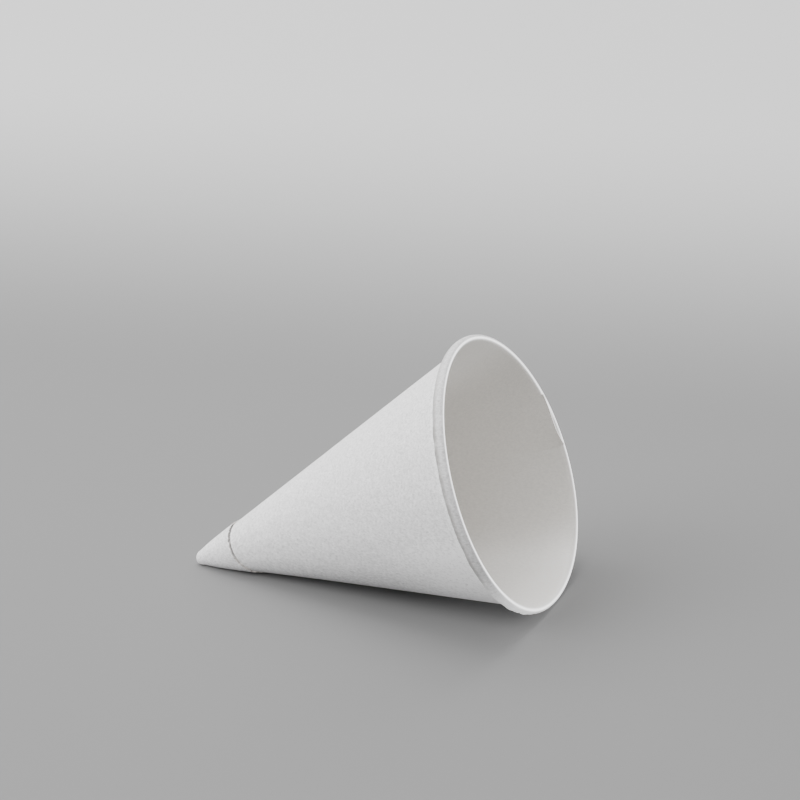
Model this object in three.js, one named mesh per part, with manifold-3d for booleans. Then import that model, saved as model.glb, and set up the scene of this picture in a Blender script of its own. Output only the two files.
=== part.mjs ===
// Rolled-rim paper cone cup, lying on its side with its mouth towards +X.
// Millimetres, +Z up. The origin is on the resting surface, under the middle of the cup.
// The cup is one wound sheet of paper: a conical wall of two plies, a blunt closed tip,
// a rim curled outwards into a bead, and the sheet's straight cut edge round the outside.
import * as THREE from 'three';
import { mergeVertices } from 'three/addons/utils/BufferGeometryUtils.js';
import Module from 'manifold-3d';

const wasm = await Module();
wasm.setup();

// Cone
const rimRadius = 33.3; // outer face of the wall, level with the middle of the bead
const halfAngle = THREE.MathUtils.degToRad(20.5);
const wallThickness = 0.4; // two plies
const plyThickness = 0.2;

// Tip
const noseRadius = 1.65;
const tipThickness = 0.7; // paper pressed together at the closed tip

// Bead, the rim rolled outwards
const beadHalfLength = 1.7; // along the wall
const beadHalfWidth = 1.08; // across the wall
const curlThickness = 0.38;
const curlEdgeAngle = THREE.MathUtils.degToRad(200); // where the curled edge ends, from the mouth end
const rimFaceDepth = 0.1; // how far the mouth end of the bead is pressed flat

// The mouth is a little out of round, squashed by the cup's own rest on its side
const ovality = 0.045;
const ovalityTurn = THREE.MathUtils.degToRad(2);
const trefoil = 0.016;
const trefoilTurn = THREE.MathUtils.degToRad(8);

// The sheet's outer cut edge, a straight line on the flat sheet
const edgeDistance = 17.5; // from the point of the cone to the nearest point of the cut
const edgeTurn = THREE.MathUtils.degToRad(-130); // where that nearest point lies round the cone
const edgeLift = 0.14; // how far the free edge springs away on the near side
const edgeLiftSpan = THREE.MathUtils.degToRad(110);
const edgeToBead = 0.2; // clear height between the end of the cut and the bead
const plyEmbed = 0.15; // how deep the outer ply is sunk into the wall that it is bonded to

// The sheet's inner end, which stands away from the wall under the rim
const flapTurn = THREE.MathUtils.degToRad(93);
const flapSpan = THREE.MathUtils.degToRad(24);
const flapHeight = 16;
const flapBulge = 1.0;
const flapTop = 0.9; // how far the flap reaches past the middle of the bead
const flapEmbed = 0.1; // how deep the flap's foot and sides are sunk into the wall

// Rest
const restFlatDepth = 0.2; // the bead is pressed flat where it meets the surface

// Facets
const turnSteps = 60;
const noseSteps = 5;
const curlSteps = 11;
const wallSteps = 3;
const plySteps = 5;
const flapSteps = 8;

const slant = rimRadius / Math.sin(halfAngle); // from the point of the cone to the bead's middle
const beadOffset = beadHalfWidth - wallThickness; // of the bead's middle from the wall's outer face
const noseCentre = noseRadius / Math.sin(halfAngle);
const edgeLimit = slant - beadHalfLength - edgeToBead;
const edgeReach = Math.acos(edgeDistance / slant) / Math.sin(halfAngle); // turn from nearest point to rim
const seamTurn = edgeTurn + edgeReach;
const fullTurn = 2 * Math.PI;

// Place along the axis and away from it, from the distance along the wall and the offset from its outer face.
function alongAndOut(along, offset) {
  return {
    axial: along * Math.cos(halfAngle) - offset * Math.sin(halfAngle),
    radial: along * Math.sin(halfAngle) + offset * Math.cos(halfAngle),
  };
}

// Share of the true radius at an angle round the cup, 0 at the resting side.
function roundness(angle) {
  return 1 - ovality * Math.cos(2 * (angle - ovalityTurn)) - trefoil * Math.cos(3 * (angle - trefoilTurn));
}

// Turn from the seam, 0 to a full turn, in the direction that the sheet is wound inwards.
function turnFromSeam(angle) {
  const turn = (angle - seamTurn) % fullTurn;
  return turn < 0 ? turn + fullTurn : turn;
}

// The wound sheet lies one ply deeper after each turn, and comes back out under the seam.
function windingOffset(turn) {
  const ramp = fullTurn / turnSteps;
  const inward = Math.min(turn / (fullTurn - ramp), (fullTurn - turn) / ramp);
  return -plyThickness * Math.max(0, inward);
}

// Profile of the cup, from the tip outside, round the curl and back to the tip inside.
function cupProfile() {
  const points = [];
  const add = ({ axial, radial }) => points.push(new THREE.Vector2(Math.max(0, radial), axial));
  const nose = (centre, radius, fromTip) => {
    const sweep = Math.PI / 2 - halfAngle;
    for (let i = 0; i <= noseSteps; i += 1) {
      const angle = sweep * (fromTip ? i : noseSteps - i) / noseSteps;
      add({ axial: centre - radius * Math.cos(angle), radial: radius * Math.sin(angle) });
    }
  };
  const faceLimit = alongAndOut(slant + beadHalfLength, beadOffset).axial - rimFaceDepth;
  const curl = (halfLength, halfWidth, outwards) => {
    const sweep = curlEdgeAngle + Math.PI / 2;
    for (let i = 0; i <= curlSteps; i += 1) {
      const angle = -Math.PI / 2 + sweep * (outwards ? i : curlSteps - i) / curlSteps;
      const place = alongAndOut(slant + halfLength * Math.cos(angle), beadOffset + halfWidth * Math.sin(angle));
      add({ axial: Math.min(place.axial, faceLimit), radial: place.radial });
    }
  };
  const wall = (from, to, offset) => {
    for (let i = 1; i < wallSteps; i += 1) {
      add(alongAndOut(from + (to - from) * i / wallSteps, offset));
    }
  };
  const innerTip = noseCentre - noseRadius + tipThickness;
  const sine = Math.sin(halfAngle);
  const innerNose = (innerTip - wallThickness / sine) / (1 / sine - 1);
  nose(noseCentre, noseRadius, true);
  wall(noseCentre * Math.cos(halfAngle), slant, 0);
  curl(beadHalfLength - curlThickness, beadHalfWidth - curlThickness, true);
  curl(beadHalfLength, beadHalfWidth, false);
  wall(slant, (innerTip + innerNose) * Math.cos(halfAngle), -wallThickness);
  nose(innerTip + innerNose, innerNose, false);
  points[0].x = 0;
  points[points.length - 1].x = 0;
  return points;
}

// The wall, tip and bead: the profile turned round the axis, with the sheet's winding in its outer face.
function cupBody() {
  const geometry = new THREE.LatheGeometry(cupProfile(), turnSteps, seamTurn);
  const position = geometry.attributes.position;
  for (let i = 0; i < position.count; i += 1) {
    const radius = Math.hypot(position.getX(i), position.getZ(i));
    if (radius > noseRadius) {
      const angle = Math.atan2(position.getX(i), position.getZ(i));
      const share = (radius + windingOffset(turnFromSeam(angle))) / radius;
      position.setX(i, position.getX(i) * share);
      position.setZ(i, position.getZ(i) * share);
    }
  }
  return geometry;
}

// A thin closed sheet bent round the cone. place gives the angle, the distance along the wall and the
// offset from its outer face, from three shares: round the cup, along the wall and through the sheet.
function bentSheet(stepsRound, stepsAlong, place) {
  const geometry = new THREE.BoxGeometry(1, 1, 1, stepsRound, stepsAlong, 1);
  const position = geometry.attributes.position;
  for (let i = 0; i < position.count; i += 1) {
    const round = position.getX(i) + 0.5;
    const { angle, along, offset } = place(round, position.getY(i) + 0.5, position.getZ(i) + 0.5);
    const { axial, radial } = alongAndOut(along, offset);
    position.setXYZ(i, radial * Math.sin(angle), axial, radial * Math.cos(angle));
  }
  return geometry;
}

// The outermost ply: the sheet's last turn, which ends at the straight cut and at its corner's edge.
function outerPly() {
  const start = noseCentre * Math.cos(halfAngle);
  return bentSheet(turnSteps, plySteps, (round, up, through) => {
    const fromNearest = edgeReach - fullTurn + fullTurn * round;
    const cut = edgeDistance / Math.cos(fromNearest * Math.sin(halfAngle));
    const end = Math.min(cut, edgeLimit);
    const along = start + (end - start) * up;
    const spring = Math.max(0, 1 - (fromNearest / edgeLiftSpan) ** 2) * edgeLift * up ** 3;
    const proud = plyThickness * Math.min(1, 0.5 + up) + spring;
    const under = -plyThickness * round;
    return { angle: edgeTurn + fromNearest, along, offset: under + (through > 0.5 ? proud : -plyEmbed) };
  });
}

// The inner end of the sheet, sprung away from the wall in a long thin lens under the rim.
function innerFlap() {
  const bottom = slant - flapHeight;
  return bentSheet(flapSteps, plySteps, (round, up, through) => {
    const angle = flapTurn + flapSpan * (round - 0.5);
    const lens = Math.sin(Math.PI * round) ** 2 * up ** 1.5;
    const face = -wallThickness + windingOffset(turnFromSeam(angle)) + flapEmbed - flapBulge * lens;
    const along = bottom + (flapHeight + flapTop) * up;
    return { angle, along, offset: face - (through > 0.5 ? 0 : plyThickness) };
  });
}

function toSolid(geometry) {
  geometry.deleteAttribute('normal');
  geometry.deleteAttribute('uv');
  const merged = mergeVertices(geometry, 1e-4);
  return new wasm.Manifold(new wasm.Mesh({
    numProp: 3,
    vertProperties: new Float32Array(merged.attributes.position.array),
    triVerts: new Uint32Array(merged.index.array),
  }));
}

function toGeometry(solid) {
  const mesh = solid.getMesh();
  const geometry = new THREE.BufferGeometry();
  geometry.setAttribute('position', new THREE.BufferAttribute(mesh.vertProperties, 3));
  geometry.setIndex(new THREE.BufferAttribute(mesh.triVerts, 1));
  return geometry;
}

// Squashes the round cup into its out-of-round form, which leaves every line to the point straight.
function squash(geometry) {
  const position = geometry.attributes.position;
  for (let i = 0; i < position.count; i += 1) {
    const share = roundness(Math.atan2(position.getX(i), position.getZ(i)));
    position.setX(i, position.getX(i) * share);
    position.setZ(i, position.getZ(i) * share);
  }
}

// Height of the lowest point of the tip half or the mouth half of the cup, with its axis at a rise.
function lowest(position, rise, mouthHalf) {
  let low = Infinity;
  for (let i = 0; i < position.count; i += 1) {
    if (position.getY(i) > slant / 2 === mouthHalf) {
      low = Math.min(low, position.getY(i) * Math.sin(rise) - position.getZ(i) * Math.cos(rise));
    }
  }
  return low;
}

// Rise of the axis at which the bead and the tip touch the surface together.
function restRise(position) {
  let low = 0;
  let high = Math.PI / 2;
  while (high - low > 1e-9) {
    const middle = (low + high) / 2;
    if (lowest(position, middle, true) < lowest(position, middle, false)) low = middle;
    else high = middle;
  }
  return low;
}

// Lays the cup on its side and presses the bead flat where it touches the surface.
function layDown(geometry) {
  const rise = restRise(geometry.attributes.position);
  const surface = lowest(geometry.attributes.position, rise, true) + restFlatDepth;
  const side = new THREE.Vector3(0, 1, 0);
  const axis = new THREE.Vector3(Math.cos(rise), 0, Math.sin(rise));
  const down = new THREE.Vector3(Math.sin(rise), 0, -Math.cos(rise));
  geometry.applyMatrix4(new THREE.Matrix4().makeBasis(side, axis, down));
  const position = geometry.attributes.position;
  for (let i = 0; i < position.count; i += 1) {
    position.setZ(i, Math.max(0, position.getZ(i) - surface));
  }
  geometry.computeBoundingBox();
  const middle = geometry.boundingBox.getCenter(new THREE.Vector3());
  geometry.translate(-middle.x, -middle.y, 0);
}

const cupGeometry = toGeometry(toSolid(cupBody()).add(toSolid(outerPly())).add(toSolid(innerFlap())));
squash(cupGeometry);
layDown(cupGeometry);
cupGeometry.computeVertexNormals();

const paper = new THREE.MeshStandardMaterial({ color: 0xe6e5e4, roughness: 0.55, metalness: 0 });
const cup = new THREE.Mesh(cupGeometry, paper);
cup.name = 'paper_cone';

const part = new THREE.Group();
part.name = 'paper_cone_cup';
part.add(cup);

export default part;
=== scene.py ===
import math
import bpy
import numpy as np
from mathutils import Matrix, Vector


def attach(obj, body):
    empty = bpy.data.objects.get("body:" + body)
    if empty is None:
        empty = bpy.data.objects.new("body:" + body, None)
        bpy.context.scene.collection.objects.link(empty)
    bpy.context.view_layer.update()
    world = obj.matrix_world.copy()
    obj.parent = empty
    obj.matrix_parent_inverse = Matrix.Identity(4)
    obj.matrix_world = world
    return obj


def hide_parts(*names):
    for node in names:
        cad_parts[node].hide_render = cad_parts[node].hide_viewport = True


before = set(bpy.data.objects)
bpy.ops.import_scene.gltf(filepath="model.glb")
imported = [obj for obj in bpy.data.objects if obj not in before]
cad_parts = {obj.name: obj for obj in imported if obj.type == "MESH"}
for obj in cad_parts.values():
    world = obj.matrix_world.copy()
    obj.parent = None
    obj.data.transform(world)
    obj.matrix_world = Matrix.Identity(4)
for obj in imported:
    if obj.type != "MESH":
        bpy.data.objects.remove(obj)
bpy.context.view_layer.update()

mm = 0.001
nodeName = "paper_cone"


# the view: focal length in mm on a 36 mm sensor, places in metres, angles in degrees
view = {
    "lens": 180.0,
    "sensor": 36.0,
    "azimuth": 20.107,
    "elevation": 18.644,
    "roll": -1.485,
    "distance": 1.00118,
    "target": (-0.00939, 0.04652, 0.030),
}


def makeCamera():
    turn = math.radians(view["azimuth"])
    lift = math.radians(view["elevation"])
    roll = math.radians(view["roll"])
    back = Vector((math.sin(turn) * math.cos(lift), -math.cos(turn) * math.cos(lift), math.sin(lift)))
    level = Vector((math.cos(turn), math.sin(turn), 0.0))
    upright = back.cross(level)
    right = level * math.cos(roll) + upright * math.sin(roll)
    up = upright * math.cos(roll) - level * math.sin(roll)
    data = bpy.data.cameras.new("viewCamera")
    data.lens = view["lens"]
    data.sensor_width = view["sensor"]
    data.clip_end = 20.0
    camera = bpy.data.objects.new("viewCamera", data)
    bpy.context.scene.collection.objects.link(camera)
    place = Matrix((right, up, back)).transposed().to_4x4()
    place.translation = Vector(view["target"]) + back * view["distance"]
    camera.matrix_world = place
    bpy.context.scene.camera = camera


# the cup, in millimetres and degrees, as the CAD model has it, apart from a rounder tip that is bent a little
cone = {
    "rimRadius": 33.3,
    "halfAngle": 20.5,
    "wall": 0.4,
    "ply": 0.2,
    "noseRadius": 1.97,
    "noseRows": 13,
    "tipThickness": 0.7,
    "wellRows": 8,
    "ovality": 0.045,
    "ovalityTurn": 2.0,
    "trefoil": 0.016,
    "trefoilTurn": 8.0,
    "seamRamp": 6.0,
    "windingFrom": 0.9,  # in nose radii
    "windingTo": 1.6,
    "rise": 20.347,
    "apex": (-49.377, -0.157, -0.246),
    "softness": 0.12,
    "tipDrift": 0.7,
    "driftFrom": 4.0,
    "driftTo": 42.0,
    "columns": 440,
}

# waves are a seed, the fewest and the most to a turn, and how many are summed; angles on the bead are counted
# from its mouth end outwards
bead = {
    "halfLength": 1.66,
    "halfWidth": 1.045,
    "thickness": 0.38,
    "edgeAngle": 208.0,
    "edgeRound": 4.0,
    "innerAngle": -90.0,
    "countFrom": -95.0,
    "faceFlat": 0.08,
    "hollowRows": 16,
    "curlRows": 34,
    "lipRows": 9,
    "lipAngle": -20.0,
    "lipSpread": 18.0,
    "lipInsideAngle": -27.0,
    "crimp": 0.06,
    "crimpFrom": -125.0,
    "crimpTo": -40.0,
    "crimpFade": 30.0,
    "crimpElsewhere": 0.25,
    "crimpRange": (-5.0, 45.0),
    "fineWaves": (21, 40, 130, 14),
    "fineShare": 0.6,
    "wideWaves": (22, 15, 45, 8),
    "slantWaves": (23, 8, 30, 5),
    "slant": 3.0,
    "acrossRate": 1.5,
    "creases": ((-34.5, 1.1, 0.45), (-25.0, 1.0, 0.36), (-30.0, 1.6, 0.08), (-40.0, 1.4, 0.08)),
    # where the bead's side and its tucked edge get painted shade, and how that shade is mottled
    "sideRange": (-8.0, 25.0),
    "tuckRange": (66.0, 112.0),
    "tuckElsewhere": 0.35,
    "shadeMottle": (0.75, 0.3, 0.25),
    # the pale stretch near the bottom, where the painted shade is lessened and the painted glow is added
    "paleFrom": -34.0,
    "paleTo": 24.0,
    "paleFade": 40.0,
    "paleAmount": 0.8,
    # where the painted highlight strip lies under the bead
    "stripFrom": 0.3,
    "stripWidth": 1.5,
    "stripFade": 0.8,
}

wall = {
    "waviness": 0.05,
    "waveFade": (0.9, 0.97),
    "longWaves": (4, 3, 9, 6),
    "longRate": 5.0,
    "shortWaves": (9, 7, 17, 6),
    "shortRate": 11.0,
    "outerRows": 58,
    "innerRows": 40,
    "crowding": 1.7,
    "flare": 0.10,
    "flareLength": 4.0,
}

cutEdge = {
    "distance": 17.5,
    "turn": -130.0,
    "flare": 0.2,
    "flareFrom": -47.0,
    "flareTo": 91.0,
    "flareFade": 10.0,
    "lift": 0.16,
    "liftFrom": -36.0,
    "liftTo": 42.0,
    "liftFade": 12.0,
    "uneven": 0.12,
    "unevenWaves": (31, 5, 40, 6),
    "startShare": 0.98,
    "thickFrom": 0.4,
    "looseRange": (0.8, 0.97),
    "looseGap": 0.01,
    "clearOfBead": 0.2,
    "embed": 0.15,
    "columns": 420,
    "rows": 26,
    "rounding": 3,
}

flap = {
    "turn": 93.5,
    "span": 23.0,
    "height": 16.0,
    "bulge": 0.75,
    "top": 1.55,
    "dip": 0.6,
    "skew": 0.65,
    "humpPower": 1.5,
    "sideFade": 0.25,
    "standRange": (0.1, 0.7),
    "sunk": 0.02,
    "stand": 0.12,
    "columns": 60,
    "rows": 24,
    "rounding": 3,
}

# painted light: emission that stands in for light on the shaded underside of the bead and on low and high
# stretches of the walls; degrees round the cup with a fade, shares along the wall, and amounts
paintedGlow = {
    "bead": 0.33,
    "beadRange": (-30.0, 20.0),
    "lowInside": 0.095,
    "lowInsideAround": (-65.0, 25.0, 30.0),
    "lowInsideAlong": (0.5, 1.0),
    "highInside": 0.048,
    "highInsideAround": (152.0, 205.0, 34.0),
    "lowOutside": 0.07,
    "lowOutsideAround": (-75.0, 0.0, 15.0),
    "lowOutsideAlong": (0.6, 0.95),
}

halfAngle = math.radians(cone["halfAngle"])
slant = cone["rimRadius"] / math.sin(halfAngle)
beadOffset = bead["halfWidth"] - cone["wall"]
noseCentre = cone["noseRadius"] / math.sin(halfAngle)
edgeReach = math.degrees(math.acos(cutEdge["distance"] / slant)) / math.sin(halfAngle)
seamTurn = cutEdge["turn"] + edgeReach


def smooth(low, high, x):
    # 0 below low, 1 above high, and an S curve between
    t = np.clip((x - low) / (high - low), 0.0, 1.0)
    return t * t * (3.0 - 2.0 * t)


def window(x, low, high, fade):
    # 1 between low and high, and 0 beyond the fade on either side
    return smooth(low - fade, low, x) * (1 - smooth(high, high + fade, x))


def axialRadial(along, offset):
    # a place given along the wall and off its outer face, as a place along the axis and away from it
    axial = along * math.cos(halfAngle) - offset * math.sin(halfAngle)
    radial = along * math.sin(halfAngle) + offset * math.cos(halfAngle)
    return axial, radial


def roundness(angle):
    # 1, less a two-lobed and a three-lobed cosine: the mouth's out-of-round
    two = np.cos(2 * np.radians(angle - cone["ovalityTurn"]))
    three = np.cos(3 * np.radians(angle - cone["trefoilTurn"]))
    return 1 - cone["ovality"] * two - cone["trefoil"] * three


def windingOffset(angle):
    # the sheet sinks by one ply in a turn, and comes back out in a short ramp under the seam
    turn = np.mod(angle - seamTurn, 360.0)
    ramp = cone["seamRamp"]
    inward = np.minimum(turn / (360.0 - ramp), (360.0 - turn) / ramp)
    return -cone["ply"] * np.clip(inward, 0.0, 1.0)


def ripple(angle, seed, low, high, count):
    # a sum of cosines round the cup, each a whole number of waves, so that it closes on itself
    rng = np.random.default_rng(seed)
    waves = rng.integers(low, high, count)
    phases = rng.uniform(0, 2 * math.pi, count)
    parts = np.cos(np.radians(angle)[..., None] * waves + phases)
    return parts.sum(-1) / math.sqrt(count)


def fromNearestCut(angle):
    # turn from the nearest point of the cut, within the sheet's last whole turn
    return np.mod(angle - cutEdge["turn"] - edgeReach, 360.0) + edgeReach - 360.0


def cupPoints(axial, radial, angle):
    # radial places times the roundness, their sine to the side and their cosine down, with the axial place
    # between; the tip is bent a little to the near side
    squashed = radial * roundness(angle)
    turn = np.radians(angle)
    drift = cone["tipDrift"] * (1 - smooth(cone["driftFrom"], cone["driftTo"], axial))
    return np.stack([squashed * np.sin(turn) - drift, axial + 0 * squashed, squashed * np.cos(turn)], -1)


def arc(centre, radius, angles):
    # axial and radial places on a circle round a centre on the axis
    return [(centre - radius * math.cos(a), radius * math.sin(a)) for a in angles]


def cupProfile():
    # from the tip outside, up the wall, round the curl's hollow, back round its outside, and down to the tip
    # inside; the curl is an ellipse, flat at the mouth
    sweep = math.pi / 2 - halfAngle
    sine = math.sin(halfAngle)
    innerTip = noseCentre - cone["noseRadius"] + cone["tipThickness"]
    innerNose = (innerTip - cone["wall"] / sine) / (1 / sine - 1)
    faceLimit = axialRadial(slant + bead["halfLength"], beadOffset)[0] - bead["faceFlat"]
    noseStart = noseCentre * math.cos(halfAngle)
    innerStart = (innerTip + innerNose) * math.cos(halfAngle)
    rows = []
    kinds = []

    def add(places, kind):
        rows.extend(places)
        kinds.extend([kind] * len(places))

    def wallRows(tipEnd, offset, count, kind, step):
        # places between the rim and the tip end, which crowd together towards the rim
        shares = (np.arange(1, count) / count) ** wall["crowding"]
        add([axialRadial(slant + (tipEnd - slant) * t, offset) for t in shares[::step]], kind)

    def curlRows(halfLength, halfWidth, start, end, count, kind):
        turns = np.radians(np.linspace(start, end, count + 1))
        ellipse = [(slant + halfLength * math.cos(a), beadOffset + halfWidth * math.sin(a)) for a in turns]
        places = [axialRadial(*place) for place in ellipse]
        add([(min(x, faceLimit), r) for x, r in places], kind)

    add(arc(noseCentre, cone["noseRadius"], np.linspace(0, sweep, cone["noseRows"])), "outside")
    wallRows(noseStart, 0.0, wall["outerRows"], "outside", -1)
    length, width, thin = bead["halfLength"], bead["halfWidth"], bead["thickness"]
    edge, inner = bead["edgeAngle"], bead["innerAngle"]
    curlRows(length - thin, width - thin, inner, edge, bead["hollowRows"], "hollow")
    edgeEnd = math.radians(edge + bead["edgeRound"])
    endAlong = slant + (length - thin / 2) * math.cos(edgeEnd)
    endOffset = beadOffset + (width - thin / 2) * math.sin(edgeEnd)
    add([axialRadial(endAlong, endOffset)], "hollow")
    curlRows(length, width, edge, bead["lipAngle"], bead["curlRows"], "curl")
    curlRows(length, width, bead["lipInsideAngle"], inner, bead["lipRows"], "lipInside")
    wallRows(innerStart, -cone["wall"], wall["innerRows"], "inside", 1)
    add(arc(innerTip + innerNose, innerNose, np.linspace(sweep, 0, cone["wellRows"])), "inside")
    return np.array(rows), np.array(kinds)


def fromBead(axial, radial):
    # the way to a place from the bead's middle, along the axis and away from it
    centreAxial, centreRadial = axialRadial(slant, beadOffset)
    return axial - centreAxial, radial - centreRadial


def curlAngle(axial, radial):
    # the turn round the bead's own middle, 0 at the mouth end and 90 outwards
    dx, dr = fromBead(axial, radial)
    along = dx * math.cos(halfAngle) + dr * math.sin(halfAngle)
    out = -dx * math.sin(halfAngle) + dr * math.cos(halfAngle)
    return np.degrees(np.arctan2(out / bead["halfWidth"], along / bead["halfLength"]))


def countedOn(turn):
    # the same turn, counted on past 180 towards the curl's tucked edge
    return np.where(turn < bead["countFrom"], turn + 360, turn)


def signed(angle):
    # an angle round the cup between -180 and 180, 0 at the surface that it lies on
    return np.where(angle > 180, angle - 360, angle)


def waveWall(radial, along, angle, outside):
    # waves round the cup times a sine along it, growing towards the rim; a flare, the square of an S curve,
    # where the bead's edge is tucked against the wall
    share = np.clip(along / slant, 0.0, 1.0)
    longWaves = ripple(angle, *wall["longWaves"])[None] * np.sin(share * wall["longRate"])
    shortWaves = ripple(angle, *wall["shortWaves"])[None] * np.sin(share * wall["shortRate"] + 1)
    fade = share * (1 - smooth(*wall["waveFade"], share))
    waved = radial + wall["waviness"] * (longWaves + shortWaves) * fade
    beadStart = slant - bead["halfLength"]
    rise = smooth(beadStart - wall["flareLength"], beadStart, along)
    return waved + outside * wall["flare"] * rise ** 2


def crimpPattern(angle, turn):
    # how strongly the bead is crimped, its waves round the cup, and a slanting sine across it
    crimped = window(signed(angle), bead["crimpFrom"], bead["crimpTo"], bead["crimpFade"])
    fine = ripple(angle, *bead["fineWaves"]) * bead["fineShare"] + ripple(angle, *bead["wideWaves"])
    slanting = bead["slant"] * ripple(angle, *bead["slantWaves"])[None]
    across = np.sin(np.radians(turn) * bead["acrossRate"] + slanting)
    return crimped, fine, across


def crimpBead(axial, radial, angle, turn, onCurl, pattern):
    # places on the outside of the bead pushed to or from its middle: crimps, and creases that are bell curves
    crimped, fine, across = pattern
    push = bead["crimp"] * ((bead["crimpElsewhere"] + crimped) * fine)[None] * (0.6 + 0.4 * across)
    for place, width, depth in bead["creases"]:
        push = push - depth * np.exp(-((signed(angle) - place) / width) ** 2)[None]
    dx, dr = fromBead(axial, radial)
    distance = np.hypot(dx, dr) + 1e-6
    share = onCurl * smooth(*bead["crimpRange"], countedOn(turn)) * push / distance
    return axial + share * dx, radial + share * dr


def bodyMasks(along, angle, turn, kinds, pattern):
    # the lip is a bell curve round the curl, a painted highlight with painted light added; the bead's side
    # and its tucked edge get painted shade, darker where it is crimped, and the wall gets a painted highlight
    # just under the bead; the open cut is known by the distance past it on the flat sheet
    crimped, fine, across = pattern
    outside = (kinds == "outside")[:, None]
    inside = np.isin(kinds, ("lipInside", "inside"))[:, None]
    onCurl = np.isin(kinds, ("curl", "lipInside"))[:, None]
    share = np.clip(along / slant, 0.0, 1.0)
    degrees = signed(angle)
    around = countedOn(turn)
    nearest = fromNearestCut(angle)
    pastCut = along * np.cos(np.radians(nearest) * math.sin(halfAngle))[None] - cutEdge["distance"]
    openCut = window(nearest, cutEdge["liftFrom"], cutEdge["liftTo"], cutEdge["liftFade"])[None]
    # the groove's painted shade is mottled along the crimps
    level, byFine, byAcross = bead["shadeMottle"]
    shadeMottle = np.clip(level + byFine * fine + byAcross * across, 0.0, 1.0)
    pale = window(degrees, bead["paleFrom"], bead["paleTo"], bead["paleFade"])[None]
    # share of the painted shade kept on the bead, less of it over the pale stretch near the bottom
    shadeKept = 1 - bead["paleAmount"] * pale
    base = bead["tuckElsewhere"]
    tuckShadeAmount = base + (1 - base) * crimped[None] * shadeMottle
    # painted light: a glow on the bead's underside near the bottom and on low and high stretches of the
    # walls, added to the lip's painted highlight
    light = paintedGlow
    low = window(degrees, *light["lowInsideAround"])[None] * smooth(*light["lowInsideAlong"], share)
    high = window(angle, *light["highInsideAround"])[None]
    under = window(degrees, *light["lowOutsideAround"])[None] * smooth(*light["lowOutsideAlong"], share)
    paintedLight = light["bead"] * onCurl * pale * smooth(*light["beadRange"], around)
    paintedLight = paintedLight + inside * (light["lowInside"] * low + light["highInside"] * high)
    paintedLight = paintedLight + outside * light["lowOutside"] * under
    toBead = slant - bead["halfLength"] - along
    return {
        # the lip's bell curve is a painted highlight
        "lipAndGlow": onCurl * np.exp(-((turn - bead["lipAngle"]) / bead["lipSpread"]) ** 2) + paintedLight,
        # painted shade on the bead's side
        "beadSideShade": onCurl * smooth(*bead["sideRange"], around) * shadeKept,
        # darker painted shade at the curl's tucked edge
        "tuckShade": onCurl * smooth(*bead["tuckRange"], around) * tuckShadeAmount * shadeKept,
        # painted highlight strip on the wall just under the bead
        "stripHighlight": outside * window(toBead, bead["stripFrom"], bead["stripWidth"], bead["stripFade"]),
        "pastCut": pastCut,
        "openCut": openCut * outside,
    }


def bodyGrid():
    # every profile place turned round the axis, moved in by the winding, then waved and crimped
    profile, kinds = cupProfile()
    angle = np.arange(cone["columns"]) * 360.0 / cone["columns"]
    axial = profile[:, 0][:, None] + 0 * angle[None]
    radial = profile[:, 1][:, None] + 0 * angle[None]
    nose = cone["noseRadius"]
    beyondNose = smooth(nose * cone["windingFrom"], nose * cone["windingTo"], radial)
    radial = radial + windingOffset(angle)[None] * beyondNose
    along = axial * math.cos(halfAngle) + radial * math.sin(halfAngle)
    radial = waveWall(radial, along, angle, (kinds == "outside")[:, None])
    turn = curlAngle(axial, radial)
    onCurl = np.isin(kinds, ("curl", "lipInside"))[:, None]
    pattern = crimpPattern(angle, turn)
    masks = bodyMasks(along, angle, turn, kinds, pattern)
    axial, radial = crimpBead(axial, radial, angle, turn, onCurl, pattern)
    return cupPoints(axial, radial, angle[None]), kinds, masks


def closedSheet(angle, along, top, bottom, rounding):
    # a thin sheet bent round the cone: its top rows from start to end, a cut edge rounded by half an ellipse,
    # and its bottom rows back
    thick = top[-1] - bottom[-1]
    edgeTurns = np.linspace(0, math.pi, rounding + 2)[1:-1]
    middle = (top[-1] + bottom[-1]) / 2
    alongEdge = [along[-1] + 0.25 * thick * math.sin(t) for t in edgeTurns]
    offsetEdge = [middle + thick / 2 * math.cos(t) for t in edgeTurns]
    alongLoop = np.concatenate([along, np.array(alongEdge), along[::-1]])
    offsetLoop = np.concatenate([top, np.array(offsetEdge), bottom[::-1]])
    axial, radial = axialRadial(alongLoop, offsetLoop)
    return cupPoints(axial, radial, angle), len(along)


def outerPlyGrid():
    # the straight cut of the flat sheet: distance over the cosine of the flat angle, for the last whole turn
    share = np.linspace(0.0, 1.0, cutEdge["columns"])
    fromNearest = edgeReach - 360.0 + 360.0 * share
    cut = cutEdge["distance"] / np.cos(np.radians(fromNearest) * math.sin(halfAngle))
    limit = slant - bead["halfLength"] - cutEdge["clearOfBead"]
    angle = cutEdge["turn"] + fromNearest
    end = np.minimum(cut, limit) + cutEdge["uneven"] * ripple(angle, *cutEdge["unevenWaves"])
    start = noseCentre * math.cos(halfAngle) * cutEdge["startShare"]
    up = np.linspace(0.0, 1.0, cutEdge["rows"])[:, None]
    along = start + (end - start)[None] * up
    loose = window(fromNearest, cutEdge["flareFrom"], cutEdge["flareTo"], cutEdge["flareFade"])[None]
    sprung = window(fromNearest, cutEdge["liftFrom"], cutEdge["liftTo"], cutEdge["liftFade"])[None]
    stand = loose * cutEdge["flare"] * up ** 0.5 + sprung * cutEdge["lift"] * up ** 4
    under = -cone["ply"] * share[None]
    top = under + cone["ply"] * smooth(0.0, cutEdge["thickFrom"], up) + stand
    free = smooth(*cutEdge["looseRange"], up) * sprung
    bottom = under - cutEdge["embed"] * (1 - free) + (stand - cutEdge["looseGap"]) * free
    return closedSheet(angle[None], along, top, bottom, cutEdge["rounding"])


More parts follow.
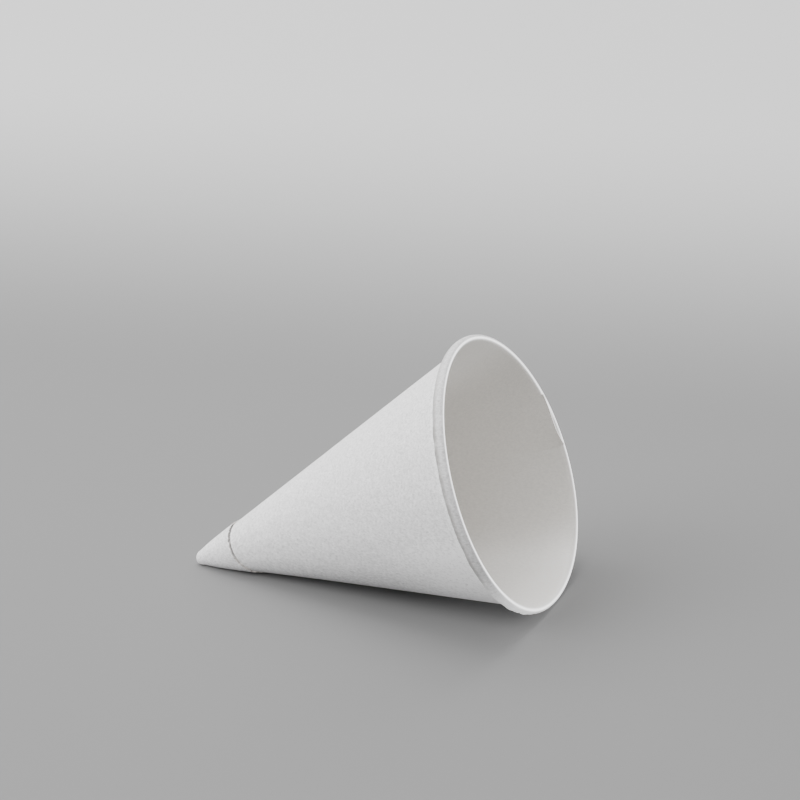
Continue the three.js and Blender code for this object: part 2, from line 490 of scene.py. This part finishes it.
def innerFlapGrid():
    # the sheet's inner end, pushed off the wall by a skewed sine round the cup that grows towards the mouth
    share = np.linspace(0.0, 1.0, flap["columns"])[None]
    angle = flap["turn"] + flap["span"] * (share - 0.5)
    up = 1 - np.linspace(1.0, 0.0, flap["rows"])[:, None] ** 2
    hump = np.sin(math.pi * share ** flap["skew"]) ** flap["humpPower"]
    reach = flap["height"] + flap["top"] - flap["dip"] * hump
    along = slant - flap["height"] + reach * up
    face = -cone["wall"] + windingOffset(angle) - flap["bulge"] * hump * up ** 3
    fade = flap["sideFade"]
    betweenSides = smooth(0.0, fade, share) * (1 - smooth(1 - fade, 1.0, share))
    inner = face + flap["sunk"] - flap["stand"] * betweenSides * smooth(*flap["standRange"], up)
    outer = inner + cone["ply"]
    return closedSheet(angle, along, outer, inner, flap["rounding"])


def layDown(points):
    # the axis rises from the apex towards +X, and what would sink is pressed to the surface: the height
    # becomes half the sum of itself and the root of its square plus the softness squared
    rise = math.radians(cone["rise"])
    axis = np.array([math.cos(rise), 0.0, math.sin(rise)])
    down = np.array([math.sin(rise), 0.0, -math.cos(rise)])
    side = np.array([0.0, 1.0, 0.0])
    laid = points[..., :1] * side + points[..., 1:2] * axis + points[..., 2:] * down + np.array(cone["apex"])
    height = laid[..., 2]
    laid[..., 2] = (height + np.sqrt(height ** 2 + cone["softness"] ** 2)) / 2
    return laid * mm


def newObject(name, vertices, faces, slots, materials):
    mesh = bpy.data.meshes.new(name)
    mesh.from_pydata(vertices.tolist(), [], faces)
    for material in materials:
        mesh.materials.append(material)
    mesh.polygons.foreach_set("material_index", np.asarray(slots, dtype=np.int32))
    mesh.polygons.foreach_set("use_smooth", np.ones(len(mesh.polygons), dtype=bool))
    mesh.validate()
    mesh.update()
    piece = bpy.data.objects.new(name, mesh)
    bpy.context.scene.collection.objects.link(piece)
    return piece


def quads(rows, columns, wrapRows, wrapColumns):
    # the four corners of every cell of a grid that may close on itself either way
    i = np.arange(rows if wrapRows else rows - 1)[:, None]
    j = np.arange(columns if wrapColumns else columns - 1)[None]
    i2 = (i + 1) % rows
    j2 = (j + 1) % columns
    four = np.broadcast_arrays(i * columns + j, i * columns + j2, i2 * columns + j2, i2 * columns + j)
    corners = np.stack(four, -1)
    return corners.reshape(-1, 4), np.broadcast_to(i, corners.shape[:2]).reshape(-1)


def addMask(piece, name, values):
    layer = piece.data.attributes.new(name, "FLOAT", "POINT")
    layer.data.foreach_set("value", np.asarray(values, dtype=np.float32))


def makeCupWall(points, kinds, masks, materials):
    # the profile's first and last rows shrink to one point each, at the tip outside and inside
    rows, columns = points.shape[:2]
    inner = points[1:-1].reshape(-1, 3)
    vertices = np.concatenate([inner, points[0].mean(0)[None], points[-1].mean(0)[None]])
    faces, rowOf = quads(rows - 2, columns, False, True)
    ring = np.arange(columns)
    after = (ring + 1) % columns
    tip = np.stack([np.full(columns, len(inner)), after, ring], -1)
    last = (rows - 3) * columns
    well = np.stack([np.full(columns, len(inner) + 1), last + ring, last + after], -1)
    slotOf = {"outside": 0, "curl": 0, "hollow": 0, "lipInside": 1, "inside": 1}
    rowSlots = np.array([slotOf[k] for k in kinds[1:-1]])
    faceList = faces.tolist() + tip.tolist() + well.tolist()
    slots = np.concatenate([rowSlots[rowOf], np.zeros(columns), np.ones(columns)])
    piece = newObject("cupWall", vertices, faceList, slots, materials)
    for name, values in masks.items():
        addMask(piece, name, np.append(values[1:-1].reshape(-1), [0.0, 0.0]))
    return piece


def makeSheet(name, points, rowCount, rounding, materials):
    # a loop of rows closed at both sides, with its cut edge in the second material and in a mask
    rows, columns = points.shape[:2]
    vertices = points.reshape(-1, 3)
    faces, rowOf = quads(rows, columns, True, False)
    isEdge = (rowOf >= rowCount - 1) & (rowOf < rowCount + rounding)
    column = np.arange(rows) * columns
    ends = [column.tolist(), (column + columns - 1)[::-1].tolist()]
    slots = np.concatenate([isEdge.astype(int), [1, 1]])
    piece = newObject(name, vertices, faces.tolist() + ends, slots, materials)
    edge = np.zeros((rows, columns))
    edge[rowCount - 1:rowCount + rounding + 1] = 1.0
    addMask(piece, "cutEdge", edge.reshape(-1))
    return piece


def turnOutwards(piece):
    # a closed mesh with a negative volume is inside out
    mesh = piece.data
    mesh.calc_loop_triangles()
    corners = np.empty(len(mesh.loop_triangles) * 3, dtype=np.int32)
    mesh.loop_triangles.foreach_get("vertices", corners)
    places = np.empty(len(mesh.vertices) * 3, dtype=np.float32)
    mesh.vertices.foreach_get("co", places)
    triangles = places.reshape(-1, 3)[corners.reshape(-1, 3)].astype(float)
    volume = np.einsum("ij,ij->i", triangles[:, 0], np.cross(triangles[:, 1], triangles[:, 2])).sum() / 6
    if volume < 0:
        mesh.flip_normals()
    print(piece.name, "volume mm3", round(abs(volume) * 1e9, 1), "faces", len(mesh.polygons))


# the paper's look: colours are linear, pattern sizes in waves per metre, the relief's depth in metres
paper = {
    "outside": (0.83, 0.825, 0.83),
    "inside": (0.785, 0.759, 0.718),
    # the cut face: the raw paper's own brown, made darker still as painted shade
    "cut": (0.55, 0.52, 0.49),
    # painted highlight: the lip's near-white colour, also the colour of the painted glow
    "lipAndGlow": (0.98, 0.98, 0.98),
    # painted shade: the bead's side darker than the sheet, where it turns away from the lamps
    "beadSideShade": (0.60, 0.595, 0.595),
    # painted shade: the dark groove where the curl's edge tucks against the wall
    "tuckShade": (0.34, 0.33, 0.32),
    # painted highlight: a bright strip on the wall just under the bead
    "stripHighlight": (0.95, 0.95, 0.95),
    # painted highlight: the flap's cut edge near-white, and it glows too
    "cutEdge": (0.98, 0.98, 0.98),
    # strength of the painted glow, emission on paper that is no lamp
    "glow": 2.4,
    "cutShadow": (0.22, 0.20, 0.18),
    "cutShine": (0.98, 0.98, 0.98),
    "bands": {"cutShadow": (0.05, 0.26), "cutShine": (0.5, 0.24)},  # centre and half width past the cut
    "specular": 0.35,
    "coat": 0.12,
    "lipCoat": 1.0,
    "coatRoughness": 0.2,
    "coatIor": 1.6,
    "cloudScale": 160.0,
    "cloudDepth": 0.06,
    "mottleScale": 1300.0,
    "mottleShare": 0.45,
    "fibreScale": 2900.0,
    "fibreShare": 0.55,
    "fibreStretch": (0.35, 1.0, 1.0),
    "fibreTurn": (0.0, -0.36, 0.6),
    "fibreDepth": 1.8,
    "roughness": 0.52,
    "roughnessSpread": 0.5,
    "reliefDepth": 0.00012,
}


def socket(group, name, kind, into, value=None):
    made = group.interface.new_socket(name=name, in_out="INPUT" if into else "OUTPUT", socket_type=kind)
    if value is not None:
        made.default_value = value
    return made


def fibreGroup():
    # clouds, mottling and fine stretched fibres, as a shade about 1, a height about 0.5 and a roughness
    group = bpy.data.node_groups.new("paperFibre", "ShaderNodeTree")
    socket(group, "Depth", "NodeSocketFloat", True, 1.0)
    socket(group, "Shade", "NodeSocketFloat", False)
    socket(group, "Height", "NodeSocketFloat", False)
    socket(group, "Roughness", "NodeSocketFloat", False)
    nodes, links = group.nodes, group.links
    enter = nodes.new("NodeGroupInput")
    leave = nodes.new("NodeGroupOutput")
    where = nodes.new("ShaderNodeTexCoord")

    def noise(scale, detail, rough, stretch=(1, 1, 1)):
        mapping = nodes.new("ShaderNodeMapping")
        mapping.inputs["Scale"].default_value = stretch
        mapping.inputs["Rotation"].default_value = paper["fibreTurn"]
        texture = nodes.new("ShaderNodeTexNoise")
        texture.inputs["Scale"].default_value = scale
        texture.inputs["Detail"].default_value = detail
        texture.inputs["Roughness"].default_value = rough
        links.new(where.outputs["Object"], mapping.inputs["Vector"])
        links.new(mapping.outputs["Vector"], texture.inputs["Vector"])
        return texture.outputs["Fac"]

    def maths(kind, a, b):
        node = nodes.new("ShaderNodeMath")
        node.operation = kind
        for index, value in enumerate((a, b)):
            if isinstance(value, (int, float)):
                node.inputs[index].default_value = value
            else:
                links.new(value, node.inputs[index])
        return node.outputs[0]

    cloud = noise(paper["cloudScale"], 3.0, 0.5)
    mottle = noise(paper["mottleScale"], 4.0, 0.6)
    fibre = noise(paper["fibreScale"], 3.0, 0.65, paper["fibreStretch"])
    mottleShare = maths("MULTIPLY", mottle, paper["mottleShare"])
    fibreShare = maths("MULTIPLY", fibre, paper["fibreShare"])
    mixed = maths("ADD", mottleShare, fibreShare)
    centred = maths("SUBTRACT", mixed, 0.5)
    cloudy = maths("MULTIPLY", maths("SUBTRACT", cloud, 0.5), paper["cloudDepth"])
    shade = maths("ADD", maths("MULTIPLY", centred, paper["fibreDepth"]), cloudy)
    deep = maths("MULTIPLY", shade, enter.outputs["Depth"])
    spread = maths("MULTIPLY", maths("ADD", centred, cloudy), paper["roughnessSpread"])
    links.new(maths("ADD", deep, 1.0), leave.inputs["Shade"])
    links.new(mixed, leave.inputs["Height"])
    links.new(maths("ADD", spread, paper["roughness"]), leave.inputs["Roughness"])
    return group


def bandGroup():
    # 1 where the distance is at the centre, falling to 0 at the half width, times the amount
    group = bpy.data.node_groups.new("cutBand", "ShaderNodeTree")
    for name in ("Distance", "Centre", "Half Width", "Amount"):
        socket(group, name, "NodeSocketFloat", True, 1.0)
    socket(group, "Mask", "NodeSocketFloat", False)
    nodes, links = group.nodes, group.links
    enter = nodes.new("NodeGroupInput")
    leave = nodes.new("NodeGroupOutput")

    def maths(kind, a, b=None):
        node = nodes.new("ShaderNodeMath")
        node.operation = kind
        links.new(a, node.inputs[0])
        if b is not None:
            links.new(b, node.inputs[1])
        return node

    off = maths("ABSOLUTE", maths("SUBTRACT", enter.outputs["Distance"], enter.outputs["Centre"]).outputs[0])
    share = maths("DIVIDE", off.outputs[0], enter.outputs["Half Width"])
    peak = nodes.new("ShaderNodeMapRange")
    peak.interpolation_type = "SMOOTHSTEP"
    peak.inputs["To Min"].default_value = 1.0
    peak.inputs["To Max"].default_value = 0.0
    links.new(share.outputs[0], peak.inputs["Value"])
    mask = maths("MULTIPLY", peak.outputs["Result"], enter.outputs["Amount"])
    links.new(mask.outputs[0], leave.inputs["Mask"])


def maskSocket(nodes, links, mask):
    # a mask stored on the mesh, or a band along the open cut
    reader = nodes.new("ShaderNodeAttribute")
    reader.attribute_name = mask
    if mask not in paper["bands"]:
        return reader.outputs["Fac"]
    reader.attribute_name = "openCut"
    past = nodes.new("ShaderNodeAttribute")
    past.attribute_name = "pastCut"
    band = nodes.new("ShaderNodeGroup")
    band.node_tree = bpy.data.node_groups["cutBand"]
    band.inputs["Centre"].default_value, band.inputs["Half Width"].default_value = paper["bands"][mask]
    links.new(past.outputs["Fac"], band.inputs["Distance"])
    links.new(reader.outputs["Fac"], band.inputs["Amount"])
    return band.outputs["Mask"]


def paperMaterial(name, colour, depth, bump, masks, bright):
    # fibre shade on the paper's colour, which each mask in turn mixes towards its own colour of painted shade
    # and painted highlight; the bright one glows as painted light
    material = bpy.data.materials.new(name)
    material.use_nodes = True
    nodes, links = material.node_tree.nodes, material.node_tree.links
    shader = nodes["Principled BSDF"]
    fibre = nodes.new("ShaderNodeGroup")
    fibre.node_tree = bpy.data.node_groups["paperFibre"]
    fibre.inputs["Depth"].default_value = depth
    last = None
    for mask in masks:
        mix = nodes.new("ShaderNodeMix")
        mix.data_type = "RGBA"
        links.new(maskSocket(nodes, links, mask), mix.inputs["Factor"])
        if last is None:
            mix.inputs["A"].default_value = (*colour, 1.0)
        else:
            links.new(last, mix.inputs["A"])
        mix.inputs["B"].default_value = (*paper[mask], 1.0)
        last = mix.outputs["Result"]
    scaled = nodes.new("ShaderNodeVectorMath")
    scaled.operation = "SCALE"
    if last is None:
        scaled.inputs[0].default_value = colour
    else:
        links.new(last, scaled.inputs[0])
    links.new(fibre.outputs["Shade"], scaled.inputs["Scale"])
    links.new(scaled.outputs["Vector"], shader.inputs["Base Color"])
    links.new(fibre.outputs["Roughness"], shader.inputs["Roughness"])
    shader.inputs["Specular IOR Level"].default_value = paper["specular"]
    shader.inputs["Coat Roughness"].default_value = paper["coatRoughness"]
    shader.inputs["Coat IOR"].default_value = paper["coatIor"]
    shader.inputs["Coat Weight"].default_value = paper["coat"]
    if bright:
        # the masked places get a heavier coat and a painted glow: emission that stands in for the highlight
        # on the lip and the flap's cut edge, and for light on shaded stretches
        waxed = nodes.new("ShaderNodeMapRange")
        waxed.inputs["To Min"].default_value = paper["coat"]
        waxed.inputs["To Max"].default_value = paper["lipCoat"]
        links.new(maskSocket(nodes, links, bright), waxed.inputs["Value"])
        links.new(waxed.outputs["Result"], shader.inputs["Coat Weight"])
        glowStrength = nodes.new("ShaderNodeMapRange")
        glowStrength.inputs["To Max"].default_value = paper["glow"]
        links.new(maskSocket(nodes, links, bright), glowStrength.inputs["Value"])
        shader.inputs["Emission Color"].default_value = (*paper["lipAndGlow"], 1.0)
        links.new(glowStrength.outputs["Result"], shader.inputs["Emission Strength"])
    relief = nodes.new("ShaderNodeBump")
    relief.inputs["Strength"].default_value = bump
    relief.inputs["Distance"].default_value = paper["reliefDepth"]
    links.new(fibre.outputs["Height"], relief.inputs["Height"])
    links.new(relief.outputs["Normal"], shader.inputs["Normal"])
    return material


# the floor and the light: sizes and places in metres, strengths in watts
studio = {
    # painted shade: the floor's colour runs from dark near the camera to pale far off, standing in for the
    # lamps' fall-off over an even pale floor
    "floorNear": (0.20, 0.20, 0.20),
    "floorFar": (0.52, 0.52, 0.52),
    "floorFrom": 0.13,
    "floorTo": 0.45,
    "floorReach": 6.0,
    "aim": (0.0, 0.0, 0.03),
    "lights": {
        "backLight": ((-0.55, 0.55, 1.25), 1.1, 16.0),
        "leftLight": ((-1.1, 0.0, 0.9), 1.1, 7.5),
        "topLight": ((0.0, 0.15, 1.5), 1.1, 4.5),
        "frontLight": ((-0.9, -0.9, 0.9), 1.2, 19.5),
        "farLight": ((-0.2, 1.3, 0.9), 1.2, 8.5),
    },
    "world": (1.0, 1.0, 1.0),
    "worldStrength": 0.95,
}


def makeFloor():
    reach = studio["floorReach"]
    mesh = bpy.data.meshes.new("floor")
    corners = [(-reach, -reach, 0.0), (reach, -reach, 0.0), (reach, reach, 0.0), (-reach, reach, 0.0)]
    mesh.from_pydata(corners, [], [(0, 1, 2, 3)])
    floor = bpy.data.objects.new("floor", mesh)
    bpy.context.scene.collection.objects.link(floor)
    material = bpy.data.materials.new("floorPaper")
    material.use_nodes = True
    nodes, links = material.node_tree.nodes, material.node_tree.links
    shader = nodes["Principled BSDF"]
    where = nodes.new("ShaderNodeTexCoord")
    split = nodes.new("ShaderNodeSeparateXYZ")
    spread = nodes.new("ShaderNodeMapRange")
    spread.interpolation_type = "SMOOTHSTEP"
    spread.inputs["From Min"].default_value = studio["floorFrom"]
    spread.inputs["From Max"].default_value = studio["floorTo"]
    # painted shade: a blend from the dark near colour to the pale far one along the floor's depth
    mix = nodes.new("ShaderNodeMix")
    mix.data_type = "RGBA"
    mix.inputs["A"].default_value = (*studio["floorNear"], 1.0)
    mix.inputs["B"].default_value = (*studio["floorFar"], 1.0)
    links.new(where.outputs["Object"], split.inputs["Vector"])
    links.new(split.outputs["Y"], spread.inputs["Value"])
    links.new(spread.outputs["Result"], mix.inputs["Factor"])
    links.new(mix.outputs["Result"], shader.inputs["Base Color"])
    shader.inputs["Roughness"].default_value = 0.8
    shader.inputs["Specular IOR Level"].default_value = 0.1
    mesh.materials.append(material)


def makeLight():
    for name, (place, size, power) in studio["lights"].items():
        data = bpy.data.lights.new(name, "AREA")
        data.shape = "DISK"
        data.size = size
        data.energy = power
        light = bpy.data.objects.new(name, data)
        light.location = place
        light.rotation_euler = (Vector(studio["aim"]) - Vector(place)).to_track_quat("-Z", "Y").to_euler()
        bpy.context.scene.collection.objects.link(light)
    world = bpy.data.worlds.new("studio")
    world.use_nodes = True
    sky = world.node_tree.nodes["Background"]
    sky.inputs["Color"].default_value = (*studio["world"], 1.0)
    sky.inputs["Strength"].default_value = studio["worldStrength"]
    bpy.context.scene.world = world


makeCamera()
print("camera made")

fibreGroup()
bandGroup()
outsideMasks = ("stripHighlight", "beadSideShade", "tuckShade", "lipAndGlow", "cutShine", "cutShadow")
whiteSkin = paperMaterial("waxedOutside", paper["outside"], 1.0, 0.55, outsideMasks, "lipAndGlow")
innerSkin = paperMaterial("waxedInside", paper["inside"], 0.25, 0.12, ("lipAndGlow",), "lipAndGlow")
# the outer ply's cut face, darkened as painted shade
shadedCut = paperMaterial("cutPaperShaded", paper["cut"], 1.4, 0.8, (), None)
# the flap's cut edge is a painted highlight with painted glow
flapSkin = paperMaterial("waxedFlap", paper["inside"], 0.25, 0.12, ("cutEdge",), "cutEdge")
print("paper materials made")

bodyPoints, bodyKinds, masksOnBody = bodyGrid()
plyPoints, plyRows = outerPlyGrid()
flapPoints, flapRows = innerFlapGrid()
cupWall = makeCupWall(layDown(bodyPoints), bodyKinds, masksOnBody, (whiteSkin, innerSkin))
outerPly = makeSheet("outerPly", layDown(plyPoints), plyRows, cutEdge["rounding"], (whiteSkin, shadedCut))
innerFlap = makeSheet("innerFlap", layDown(flapPoints), flapRows, flap["rounding"], (flapSkin, flapSkin))
for piece in (cupWall, outerPly, innerFlap):
    turnOutwards(piece)
    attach(piece, "root")
    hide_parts(nodeName)
print("cup made")

makeFloor()
makeLight()
print("studio made")
